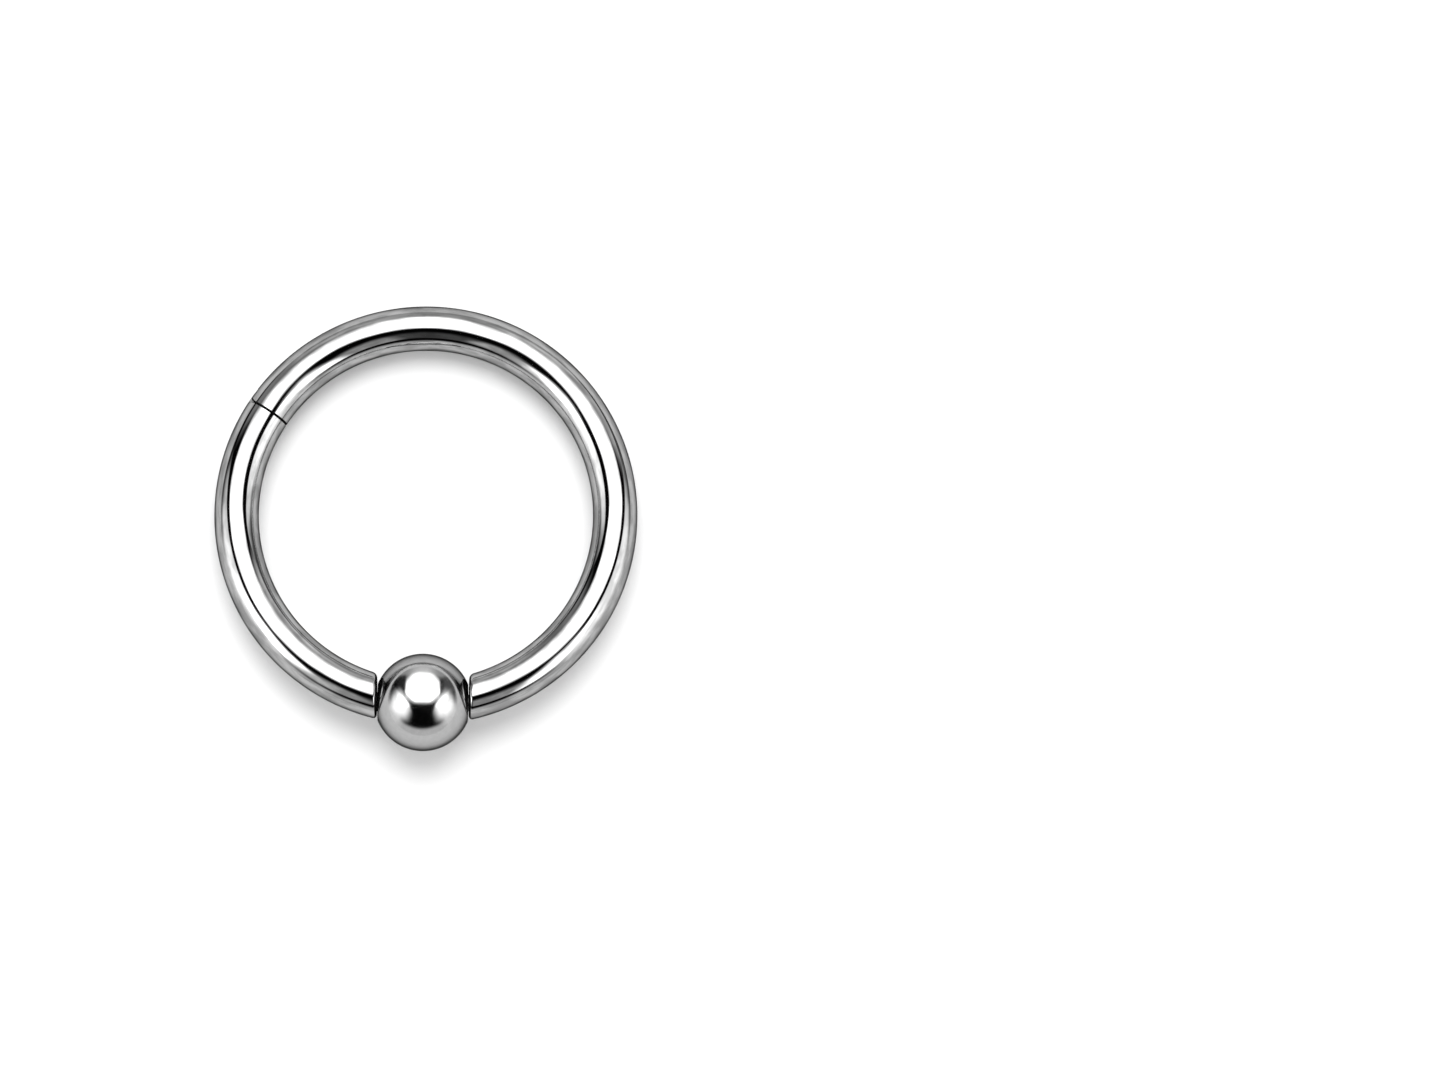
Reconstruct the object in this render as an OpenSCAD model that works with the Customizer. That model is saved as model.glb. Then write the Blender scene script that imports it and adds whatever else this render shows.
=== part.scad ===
// Captive bead ring with a hinged segment, lying on a flat surface.
// Each piece is written in the ring's own frame: centre of the ring at the origin, ring axis along +Z,
// bead towards -Y. The module at_rest then lays the finished ring on its bead and its far side.

/* [Ring] */
// diameter of the round wire (14 gauge)
wire_d = 1.6; // [1.4:0.1:2]
// clear diameter inside the closed ring
inner_d = 12; // [9:0.5:16]

/* [Bead] */
// diameter of the bead
bead_d = 3.5; // [3:0.25:5]
// rim diameter of the shallow dimple on each side of the bead
dimple_d = 1.3; // [1:0.05:1.5]
// depth of a dimple below its rim
dimple_depth = 0.25; // [0.2:0.05:0.4]
// gap between a dimple's rim and the flat end of the wire beside it
end_gap = 0.025; // [0.01:0.005:0.1]
// width of the broken edge round the wire's ends
end_chamfer = 0.15; // [0.05:0.05:0.25]

/* [Bead seats] */
// diameter of the peg on the long arc that carries the bead
peg_d = 0.6; // [0.4:0.05:0.8]
// length of the peg
peg_length = 0.8; // [0.5:0.05:1]
// gap round the peg and past its end
peg_gap = 0.01; // [0.005:0.005:0.03]
// base diameter of the dome on the hinged segment
dome_d = 0.7; // [0.4:0.05:0.8]
// gap between the dome and the bottom of its dimple
dome_gap = 0.05; // [0.02:0.01:0.1]

/* [Hinge] */
// angle round the ring from the bead to the seam
seam_angle = 122.4; // [100:0.2:140]
// gap between the two faces of the seam
seam_gap = 0.035; // [0.02:0.005:0.05]
// angle that the segment swings outward before the seam's reliefs meet
swing_angle = 30; // [15:1:35]
// share of that angle that the segment's own edge gives up
relief_angle = 5; // [3:1:12]
// diameter of the pin
pin_d = 0.2; // [0.18:0.01:0.24]
// depth of the pin's axis below the outside of the wire
pin_inset = 0.26; // [0.25:0.01:0.32]
// distance of the pin's axis behind the seam, inside the long arc
pin_setback = 0.25; // [0.22:0.01:0.3]
// metal left over the blind end of the pin
pin_cover = 0.1; // [0.08:0.01:0.14]
// gap between the pin and its bore in the long arc
pin_fit = 0.01; // [0.005:0.005:0.02]
// running clearance between the pin and the tongue
pin_play = 0.02; // [0.01:0.005:0.03]
// diameter of the tongue's round end
knuckle_d = 0.5; // [0.44:0.01:0.52]
// thickness of the tongue, along the ring's axis
tongue_t = 0.4; // [0.35:0.05:0.45]
// clearance on each side of the tongue
tongue_play = 0.03; // [0.02:0.01:0.05]
// clearance round the tongue's round end
knuckle_play = 0.04; // [0.02:0.01:0.06]

/* [Hidden] */
$fn = 128;

steel = [0.78, 0.78, 0.79];
pin_steel = [0.6, 0.6, 0.62];

wire_r = wire_d / 2;
bead_r = bead_d / 2;
centre_r = inner_d / 2 + wire_r;
outer_r = centre_r + wire_r;

// the ring rests on its bead and on the wire opposite the bead
rest_tilt = asin((bead_r - wire_r) / (2 * centre_r));
rest_height = (bead_r + wire_r) / 2;
rest_shift = (bead_r - wire_r) / 2;

// the wire's flat ends beside the bead, at this distance from the plane through bead and ring centre
dimple_r = dimple_d / 2;
rim_x = sqrt(pow(bead_r, 2) - pow(dimple_r, 2));
face_x = rim_x + end_gap;
face_y = -sqrt(pow(centre_r, 2) - pow(face_x, 2));
face_r = wire_r - end_chamfer;
dimple_x = rim_x - dimple_depth;
dimple_ball_r = (pow(dimple_r, 2) + pow(dimple_depth, 2)) / (2 * dimple_depth);
dome_r = dome_d / 2;
dome_h = face_x - dimple_x - dome_gap;
dome_ball_r = (pow(dome_r, 2) + pow(dome_h, 2)) / (2 * dome_h);

// angles round the ring, from +X: the bead where the long arc starts, and again where the short one ends
bead_start = -90;
bead_end = 270;
seam_at = bead_end - seam_angle;
end_angle = asin(face_x / outer_r);

// the hinge, in the frame of the pin: +X outward from the ring's centre, +Y along the wire past the seam
pin_r = pin_d / 2;
pin_offset = wire_r - pin_inset;
pin_top = sqrt(pow(wire_r, 2) - pow(pin_offset + pin_r, 2)) - pin_cover;
knuckle_r = knuckle_d / 2;
slot_r = knuckle_r + knuckle_play;
slot_w = tongue_t + 2 * tongue_play;
slot_end = max(slot_r, pin_inset * sin(swing_angle) + knuckle_play);
arc_face = pin_setback - seam_gap / 2;
segment_face = pin_setback + seam_gap / 2;
arc_relief_angle = swing_angle - relief_angle;
relief_at = segment_face * cos(relief_angle);
arc_relief_at = relief_at - seam_gap;

// how far cutting blocks reach past the wire and lap over each other, how deep the cone that breaks an
// edge goes, and how many degrees an arc runs on under the cut that ends it
reach = 2 * wire_d;
lap = wire_r / 4;
edge_depth = 2 * end_chamfer;
run_on = asin(wire_d / centre_r);
end_run_on = asin(lap / centre_r);

// lays the ring down with its lowest points at z = 0 and the middle of its box over the origin
module at_rest() {
    translate([0, rest_shift, rest_height])
        rotate([-rest_tilt, 0, 0])
            children();
}

// places its children in the frame of the hinge pin
module at_pin() {
    rotate([0, 0, seam_at])
        translate([centre_r + pin_offset, -pin_setback, 0])
            children();
}

// round wire bent along the ring from one angle to another
module wire(from, to) {
    rotate([0, 0, from])
        rotate_extrude(angle = to - from)
            translate([centre_r, 0])
                circle(r = wire_r);
}

// block of the space past a distance from the pin, with a face that leans away from the seam's
// outer edge, from the height z0 upwards
module past(distance, lean, z0, height) {
    rotate([0, 0, -lean])
        translate([-reach, distance, z0])
            cube([2 * reach, reach, height]);
}

// the same on the other side of such a face
module short_of(distance, lean, z0, height) {
    rotate([0, 0, lean])
        translate([-reach, distance - reach, z0])
            cube([2 * reach, reach, height]);
}

// what is cut off an arc at its end beside the bead: all past the flat face, and the edge round the
// face, outside a cone of 45 degrees
module bead_end_cut() {
    translate([face_x - reach, face_y - reach, -reach])
        cube([reach, 2 * reach, 2 * reach]);
    translate([face_x, face_y, 0])
        rotate([0, 90, 0])
            difference() {
                translate([0, 0, -lap / 2])
                    cylinder(r = reach, h = edge_depth + lap / 2);
                translate([0, 0, -lap])
                    cylinder(r1 = face_r - lap, r2 = face_r + edge_depth + lap, h = edge_depth + 2 * lap);
            }
}

// slot in the long arc for the tongue, open to the outside of the ring and towards the seam
module hinge_slot() {
    translate([0, 0, -slot_w / 2]) {
        cylinder(r = slot_r, h = slot_w);
        translate([-slot_r, 0, 0])
            cube([slot_r + reach, pin_setback + reach, slot_w]);
        translate([0, -slot_end, 0])
            cube([reach, slot_end + seam_gap, slot_w]);
    }
}

module main_arc() {
    color(steel)
        at_rest() {
            difference() {
                wire(bead_start + end_angle - end_run_on, seam_at + run_on);
                bead_end_cut();
                at_pin() {
                    past(arc_face, 0, -reach, 2 * reach);
                    past(arc_relief_at, arc_relief_angle, -reach, 2 * reach);
                    hinge_slot();
                    translate([0, 0, pin_top + pin_fit - reach])
                        cylinder(r = pin_r + pin_fit, h = reach);
                }
            }
            translate([face_x - peg_length, -centre_r, 0])
                rotate([0, 90, 0])
                    cylinder(d = peg_d, h = peg_length + end_chamfer);
        }
}

// half section of the bead, turned about the Y axis: +Y points to the long arc's end
module bead_section() {
    difference() {
        intersection() {
            circle(r = bead_r);
            translate([0, -bead_r])
                square([bead_r, 2 * bead_r]);
        }
        for (side = [-1, 1])
            translate([0, side * (dimple_x + dimple_ball_r)])
                circle(r = dimple_ball_r);
        translate([0, face_x - peg_length - peg_gap])
            square([peg_d / 2 + peg_gap, peg_length]);
    }
}

module bead() {
    color(steel)
        at_rest()
            translate([0, -centre_r, 0])
                rotate([0, 90, 0])
                    rotate_extrude()
                        bead_section();
}

module hinge_pin() {
    color(pin_steel)
        at_rest()
            intersection() {
                wire(seam_at - run_on, seam_at + run_on);
                at_pin()
                    translate([0, 0, pin_top - reach])
                        cylinder(r = pin_r, h = reach);
            }
}

module hinged_segment() {
    color(steel)
        at_rest() {
            difference() {
                wire(seam_at - run_on, bead_end - end_angle + end_run_on);
                mirror([1, 0, 0])
                    bead_end_cut();
                at_pin() {
                    for (z0 = [tongue_t / 2, -tongue_t / 2 - reach]) {
                        short_of(segment_face, 0, z0, reach);
                        short_of(relief_at, relief_angle, z0, reach);
                    }
                    translate([-reach, -reach, -wire_r])
                        cube([reach - knuckle_r, reach + segment_face, wire_d]);
                    difference() {
                        translate([-reach, -reach, -wire_r])
                            cube([2 * reach, reach, wire_d]);
                        translate([0, 0, -wire_d])
                            cylinder(r = knuckle_r, h = 2 * wire_d);
                    }
                    translate([0, 0, -wire_d])
                        cylinder(r = pin_r + pin_play, h = 2 * wire_d);
                }
            }
            translate([-face_x + dome_h - dome_ball_r, -centre_r, 0])
                sphere(r = dome_ball_r);
        }
}

main_arc();
bead();
hinge_pin();
hinged_segment();
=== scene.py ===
"""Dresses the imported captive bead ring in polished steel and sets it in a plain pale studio.

All shapes are worked out in millimetres in the ring's own frame, with the centre of the ring at the
origin, the ring's axis along +Z and the bead towards -Y. RingLay then lays them down in the row frame.
"""
import logging
import math
from abc import ABC, abstractmethod
from dataclasses import dataclass, field
from enum import Enum
from typing import Callable, ClassVar, NamedTuple, Optional, Sequence, Union

import bpy
import numpy as np
from mathutils import Matrix, Vector


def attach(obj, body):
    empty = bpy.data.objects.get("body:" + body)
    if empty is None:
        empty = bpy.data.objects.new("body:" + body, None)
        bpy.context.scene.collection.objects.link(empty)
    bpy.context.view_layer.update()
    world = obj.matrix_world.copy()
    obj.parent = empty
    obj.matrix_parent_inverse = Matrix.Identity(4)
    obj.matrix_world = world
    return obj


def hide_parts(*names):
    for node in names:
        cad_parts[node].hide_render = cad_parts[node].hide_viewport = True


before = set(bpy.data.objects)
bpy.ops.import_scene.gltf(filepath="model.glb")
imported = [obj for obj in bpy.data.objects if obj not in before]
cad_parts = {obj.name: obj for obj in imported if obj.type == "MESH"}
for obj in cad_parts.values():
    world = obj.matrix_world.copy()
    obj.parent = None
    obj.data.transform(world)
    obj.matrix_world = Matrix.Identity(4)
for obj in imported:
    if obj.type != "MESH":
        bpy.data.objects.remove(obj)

log = logging.getLogger("ring")
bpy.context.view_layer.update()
MM = 0.001
FULL_TURN = 2 * math.pi
NEAR_ZERO = 1e-12

Face = tuple[int, ...]
Outline = list[tuple[float, float]]
Place = tuple[float, float, float]
Object = bpy.types.Object
Socket = bpy.types.NodeSocket
Input = Union[float, Sequence[float], Socket]
Inputs = dict[Union[int, str], Input]
Finishes = Sequence[bpy.types.Material]
PointsTo = Callable[[np.ndarray], np.ndarray]


class Body(Enum):
    """The two rigid bodies that the pieces ride on."""

    RING = "ring"
    SEGMENT = "segment"


class ArcEnd(Enum):
    """The two kinds of end that an arc of wire has."""

    BESIDE_BEAD = "beside_bead"
    AT_SEAM = "at_seam"


class ArcForm(Enum):
    """The forms of an arc that its finishes go by, in the order of its surfaces."""

    WIRE = 0
    BEAD_EDGE = 1
    SEAM_EDGE = 2


class ArcLook(Enum):
    """The finishes of an arc, in the order of its materials, the last two with painted shade."""

    POLISHED = 0
    # unpolished and rougher, with its low tone partly painted shade
    UNPOLISHED_SHADED = 1
    # painted shade: near-black on the broken edges in the joints, where the narrow gaps fall into shade
    PAINTED_SHADE = 2


class Combine(Enum):
    """What a second solid does to a first, by the names of Blender's own operations."""

    JOIN = "UNION"
    CUT = "DIFFERENCE"
    KEEP_SHARED = "INTERSECT"


class Grain(Enum):
    """Which way the fine lines of a finish run."""

    ALONG_WIRE = "along_wire"
    ALL_WAYS = "all_ways"


def cap_ball_r(rim: float, height: float) -> float:
    """Radius of the ball from which a cap of a rim radius and a height is cut."""
    return (rim ** 2 + height ** 2) / (2 * height)


@dataclass(frozen=True)
class RingSizes:
    """Sizes of the ring in millimetres and degrees, as in the part's source."""

    wire_d: float = 1.6
    inner_d: float = 12.0
    bead_d: float = 3.5
    dimple_d: float = 1.3
    dimple_depth: float = 0.25
    end_gap: float = 0.025
    end_round: float = 0.16
    peg_d: float = 0.6
    peg_length: float = 0.8
    peg_gap: float = 0.01
    dome_d: float = 0.7
    dome_gap: float = 0.05
    seam_angle: float = 122.4
    seam_gap: float = 0.035
    seam_round: float = 0.035
    swing_angle: float = 30.0
    relief_angle: float = 5.0
    pin_d: float = 0.2
    pin_inset: float = 0.26
    pin_setback: float = 0.25
    pin_cover: float = 0.1
    pin_fit: float = 0.01
    pin_play: float = 0.02
    knuckle_d: float = 0.5
    tongue_t: float = 0.4
    tongue_play: float = 0.03
    knuckle_play: float = 0.04

    @property
    def wire_r(self) -> float:
        """Radius of the wire."""
        return self.wire_d / 2

    @property
    def bead_r(self) -> float:
        """Radius of the bead."""
        return self.bead_d / 2

    @property
    def centre_r(self) -> float:
        """Radius of the ring at the wire's centre line."""
        return self.inner_d / 2 + self.wire_r

    @property
    def dimple_r(self) -> float:
        """Radius of a dimple's rim."""
        return self.dimple_d / 2

    @property
    def dimple_ball_r(self) -> float:
        """Radius of the ball that a dimple is a print of."""
        return cap_ball_r(self.dimple_r, self.dimple_depth)

    @property
    def rim_x(self) -> float:
        """Distance of a dimple's rim from the plane through bead and ring centre."""
        return math.sqrt(self.bead_r ** 2 - self.dimple_r ** 2)

    @property
    def face_x(self) -> float:
        """Distance of a wire's flat end from the same plane."""
        return self.rim_x + self.end_gap

    @property
    def dimple_x(self) -> float:
        """Distance of a dimple's bottom from the same plane."""
        return self.rim_x - self.dimple_depth

    @property
    def seam_at(self) -> float:
        """Angle of the seam round the ring, in radians from +X."""
        return math.radians(270.0 - self.seam_angle)

    @property
    def relief_at(self) -> float:
        """Distance of the hinged segment's relief plane from the pin."""
        return (self.pin_setback + self.seam_gap / 2) * math.cos(math.radians(self.relief_angle))

    @property
    def pin_offset(self) -> float:
        """Distance of the pin outward from the wire's centre line."""
        return self.wire_r - self.pin_inset

    @property
    def pin_top(self) -> float:
        """Height of the pin's blind end along the ring's axis."""
        edge = self.pin_offset + self.pin_d / 2
        return math.sqrt(self.wire_r ** 2 - edge ** 2) - self.pin_cover


@dataclass(frozen=True)
class RingLay:
    """How the finished ring lies on the surface: on its bead and on the wire opposite."""

    sizes: RingSizes

    @property
    def matrix(self) -> Matrix:
        """How places change from the ring's frame to the row frame.

        Returns:
            The matrix, from millimetres to metres.
        """
        lift = (self.sizes.bead_r - self.sizes.wire_r) / (2 * self.sizes.centre_r)
        turn = Matrix.Rotation(-math.asin(lift), 4, "X")
        height = (self.sizes.bead_r + self.sizes.wire_r) / 2
        shift = (self.sizes.bead_r - self.sizes.wire_r) / 2
        return Matrix.Scale(MM, 4) @ Matrix.Translation((0.0, shift, height)) @ turn


# Shapes


@dataclass
class Surface:
    """A surface that a mesh follows, which gives exact normals to the faces that lie on it.

    Attributes:
        distance: distances of points from the surface, in millimetres.
        normal: unit normals of the surface nearest to points.
        slack: how far a face's corners may lie off the surface.
        agreement: least cosine between a face's own normal and the surface's.
    """

    distance: PointsTo
    normal: PointsTo
    slack: float = 6e-4
    agreement: float = 0.9


def unit(v: np.ndarray) -> np.ndarray:
    """Vectors scaled to length one."""
    return v / np.maximum(np.linalg.norm(v, axis=-1, keepdims=True), NEAR_ZERO)


def level(v: np.ndarray) -> np.ndarray:
    """Vectors without their part along the ring's axis."""
    return v * np.array([1.0, 1.0, 0.0])


def smooth(value: np.ndarray, low: float, high: float) -> np.ndarray:
    """A smooth step from 0 at low to 1 at high."""
    share = np.clip((value - low) / (high - low), 0.0, 1.0)
    return share * share * (3 - 2 * share)


@dataclass(frozen=True)
class CrownPolish:
    """The slight flat that the polishing wheel has left along the crown of the wire.

    It lies on the half of the ring opposite the bead and changes only the normals, as the metal that it
    takes off is about a hundredth of a millimetre. Places round the wire are in degrees outward from the
    crown. Places round the ring are given by how far north they lie: 0 beside the ring's centre and 1
    opposite the bead.

    Attributes:
        flatness: how much of the wire's curve is gone in the middle of the flat.
        turn: how far the flat leans inward halfway between its ends and its middle, in degrees.
        at: where the flat lies opposite the bead.
        drift: how much further inward it lies beside the ring's centre.
        reach: degrees over which it fades.
        comes_in: how far north there is nothing and all of it, on the side towards the bead.
        goes_out: how far north there is nothing and all of it, opposite the bead.
        turn_comes_in: how far north there is nothing and all of its lean.
    """

    flatness: float = 0.45
    turn: float = 3.0
    at: float = -12.0
    drift: float = 10.0
    reach: float = 10.0
    comes_in: tuple[float, float] = (-0.15, 0.1)
    goes_out: tuple[float, float] = (1.0, 0.85)
    turn_comes_in: tuple[float, float] = (0.4, 0.8)

    def lean(self, normals: np.ndarray, out: np.ndarray) -> np.ndarray:
        """Normals of the round wire with the flat's lean.

        Args:
            normals: unit normals of the round wire, in the ring's frame.
            out: unit vectors outward from the ring's centre, level with the ring.

        Returns:
            The unit normals, turned.
        """
        north = out[..., 1]
        outward = np.einsum("...i,...i->...", normals, out)
        place = np.degrees(np.arctan2(outward, normals[..., 2]))
        off = place - (self.at - self.drift * (1 - north) ** 2)
        cover = smooth(north, *self.comes_in) * smooth(north, *self.goes_out)
        cover = np.exp(-(off / self.reach) ** 2) * cover
        change = self.flatness * off + self.turn * smooth(north, *self.turn_comes_in)
        turn = np.radians(place - cover * change)
        up = np.zeros_like(normals)
        up[..., 2] = np.cos(turn)
        return out * np.sin(turn)[..., None] + up


def round_surface(from_middle: PointsTo, radius: float, hollow: bool = False) -> Surface:
    """A surface at one distance from a point or a line, such as a ball's or a post's.

    Args:
        from_middle: gives the vectors to points from the nearest place on that point or line.
        radius: the distance.
        hollow: whether it is a hollow's, so that its normals point to the middle.

    Returns:
        The surface.
    """
    sign = -1.0 if hollow else 1.0
    return Surface(
        lambda p: np.abs(np.linalg.norm(from_middle(p), axis=-1) - radius),
        lambda p: sign * unit(from_middle(p)),
    )


def ball_surface(centre: Place, radius: float, hollow: bool = False) -> Surface:
    """A ball's surface, or that of the hollow that a ball leaves."""
    return round_surface(lambda p: p - np.array(centre), radius, hollow)


def post_surface(centre: Place, radius: float, hollow: bool = False) -> Surface:
    """The wall of a round post or bore along the ring's axis."""
    return round_surface(lambda p: level(p - np.array(centre)), radius, hollow)


def wire_surface(sizes: RingSizes, polish: CrownPolish = CrownPolish()) -> Surface:
    """The round wire's own surface.

    Args:
        sizes: the ring's sizes.
        polish: the flat along its crown, which shows in the normals alone.

    Returns:
        The surface.
    """

    def outward(p: np.ndarray) -> np.ndarray:
        """Unit vectors from the ring's axis to points, level with the ring."""
        return unit(level(p))

    def from_centre(p: np.ndarray) -> np.ndarray:
        """Vectors from the wire's centre line to points."""
        return p - outward(p) * sizes.centre_r

    surface = round_surface(from_centre, sizes.wire_r)
    surface.normal = lambda p: polish.lean(unit(from_centre(p)), outward(p))
    return surface


def arc_outline(radius: float, start: float, stop: float, steps: int) -> Outline:
    """Points on an arc round the origin, from one angle to another in radians."""
    return [(radius * math.cos(a), radius * math.sin(a)) for a in np.linspace(start, stop, steps + 1)]


def values(
    items: bpy.types.bpy_prop_collection, name: str, width: int = 1, kind: type = float
) -> np.ndarray:
    """One property of all the points, corners or faces of a mesh.

    Args:
        items: the points, corners or faces.
        name: the property.
        width: how many numbers it has.
        kind: the type of these numbers.

    Returns:
        The numbers, with a row for each item where the property has more than one.
    """
    flat = np.empty(len(items) * width, kind)
    items.foreach_get(name, flat)
    return flat.reshape(-1, width) if width > 1 else flat


def new_object(name: str, data: bpy.types.ID) -> Object:
    """Puts a new object in the scene.

    Args:
        name: its name.
        data: its mesh, lamp or camera.

    Returns:
        The object.
    """
    item = bpy.data.objects.new(name, data)
    bpy.context.scene.collection.objects.link(item)
    return item


def new_mesh(name: str, points: Sequence[Sequence[float]], faces: Sequence[Face]) -> Object:
    """Puts a new mesh in the scene.

    Args:
        name: the name of the mesh and of its object.
        points: its points.
        faces: its faces, as point numbers.

    Returns:
        The object.
    """
    data = bpy.data.meshes.new(name)
    data.from_pydata(points, [], faces)
    data.validate()
    return new_object(name, data)


class Shaper:
    """Makes meshes in millimetres, joins and cuts them, and lays the finished ones down."""

    def __init__(self, lay: RingLay) -> None:
        """Keeps how the ring lies."""
        self.lay = lay

    def stack(self, name: str, rings: Sequence[np.ndarray], last: Optional[list[Face]] = None) -> Object:
        """Skins a stack of closed rings of points, and closes both ends.

        Args:
            name: the object's name.
            rings: the rings, each with as many points as the others.
            last: the faces that close the last ring, as point numbers on it, where one isn't enough.

        Returns:
            The new object, closed, with its faces turned outward.
        """
        around = len(rings[0])
        whole = tuple(range(around))
        faces: list[Face] = []
        for i in range(len(rings) - 1):
            low = i * around
            high = low + around
            for k in range(around):
                following = (k + 1) % around
                faces.append((low + k, low + following, high + following, high + k))
        faces.append(whole[::-1])
        start = (len(rings) - 1) * around
        faces.extend(tuple(start + k for k in face) for face in last or [whole])
        item = new_mesh(name, np.concatenate(rings).tolist(), faces)
        self.face_outward(item.data)
        return item

    @staticmethod
    def face_outward(data: bpy.types.Mesh) -> None:
        """Turns every face of a closed mesh over if its volume comes out negative.

        Args:
            data: the mesh.
        """
        data.calc_loop_triangles()
        points = values(data.vertices, "co", 3)
        corners = values(data.loop_triangles, "vertices", 3, int)
        a, b, c = (points[corners[:, i]] for i in range(3))
        if np.einsum("ij,ij->i", a, np.cross(b, c)).sum() < 0:
            data.flip_normals()

    def prism(self, name: str, outline: Outline, low: float, high: float) -> Object:
        """A closed prism over an outline, between two heights."""
        return self.stack(name, [np.array([(x, y, z) for x, y in outline]) for z in (low, high)])

    def turned(self, name: str, profile: Outline, steps: int) -> Object:
        """A closed solid turned about the bead's axis, which runs along X.

        Args:
            name: the object's name.
            profile: its half section, as places along X and distances from the axis.
            steps: points round it.

        Returns:
            The new object.
        """
        turns = np.linspace(0, FULL_TURN, steps, endpoint=False)
        centre = -self.lay.sizes.centre_r
        rings = [
            np.column_stack([np.full(steps, x), centre + r * np.cos(turns), r * np.sin(turns)])
            for x, r in profile
        ]
        return self.stack(name, rings)

    @staticmethod
    def combine(item: Object, other: Object, how: Combine) -> None:
        """Joins another solid to an object, or cuts or keeps what they share.

        Args:
            item: the object that changes.
            other: the solid that is used up.
            how: what the solid does to the object.
        """
        step = item.modifiers.new("combine", "BOOLEAN")
        step.operation = how.value
        step.solver = "EXACT"
        step.object = other
        graph = bpy.context.evaluated_depsgraph_get()
        result = bpy.data.meshes.new_from_object(item.evaluated_get(graph))
        item.modifiers.clear()
        spare = item.data
        item.data = result
        bpy.data.meshes.remove(spare)
        bpy.data.objects.remove(other, do_unlink=True)

    @staticmethod
    def follow(
        data: bpy.types.Mesh, surfaces: Sequence[Surface]
    ) -> tuple[np.ndarray, np.ndarray, np.ndarray]:
        """Finds the surface that each face of a mesh follows, and the normals that it gives.

        Args:
            data: the mesh, in millimetres in the ring's frame.
            surfaces: the surfaces, of which the first that fits a face counts.

        Returns:
            The faces' middles, the number of each one's surface (-1 for a flat face), and the normals at
            all the faces' corners.
        """
        total = values(data.polygons, "loop_total", kind=int)
        flat = values(data.polygons, "normal", 3)
        owner = np.repeat(np.arange(len(total)), total)
        corners = values(data.vertices, "co", 3)[values(data.loops, "vertex_index", kind=int)]
        middle = np.zeros_like(flat)
        np.add.at(middle, owner, corners)
        middle /= total[:, None]
        normals = flat[owner]
        kind = np.full(len(total), -1)
        for number, surface in enumerate(surfaces):
            worst = np.zeros(len(total))
            np.maximum.at(worst, owner, surface.distance(corners))
            agrees = np.einsum("ij,ij->i", surface.normal(middle), flat) > surface.agreement
            chosen = (kind < 0) & (worst < surface.slack) & agrees
            kind[chosen] = number
            normals[chosen[owner]] = surface.normal(corners[chosen[owner]])
        return middle, kind, normals

    def finish(
        self,
        item: Object,
        surfaces: Sequence[Surface],
        finishes: Finishes,
        pick: Optional[Callable[[np.ndarray, np.ndarray], np.ndarray]] = None,
    ) -> None:
        """Gives a finished mesh its exact normals and its materials, and lays it down in the row frame.

        Args:
            item: the object, still in millimetres in the ring's frame.
            surfaces: the curved surfaces that its faces may follow; all other faces are flat.
            finishes: the finish on the outside first, then any others.
            pick: gives the number of each face's finish, from the faces' middles and from the number of
                the surface that each one follows (-1 for none). Without it all get the first one.
        """
        data = item.data
        middle, kind, normals = self.follow(data, surfaces)
        turn = np.array(self.lay.matrix.to_3x3()) / MM
        data.transform(self.lay.matrix)
        data.polygons.foreach_set("use_smooth", np.ones(len(kind), bool))
        data.normals_split_custom_set((normals @ turn.T).tolist())
        data.materials.clear()
        for finish in finishes:
            data.materials.append(finish)
        chosen = pick(middle, kind) if pick else np.zeros(len(kind), int)
        data.polygons.foreach_set("material_index", chosen.astype(np.int32))
        data.update()


# Finishes


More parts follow.
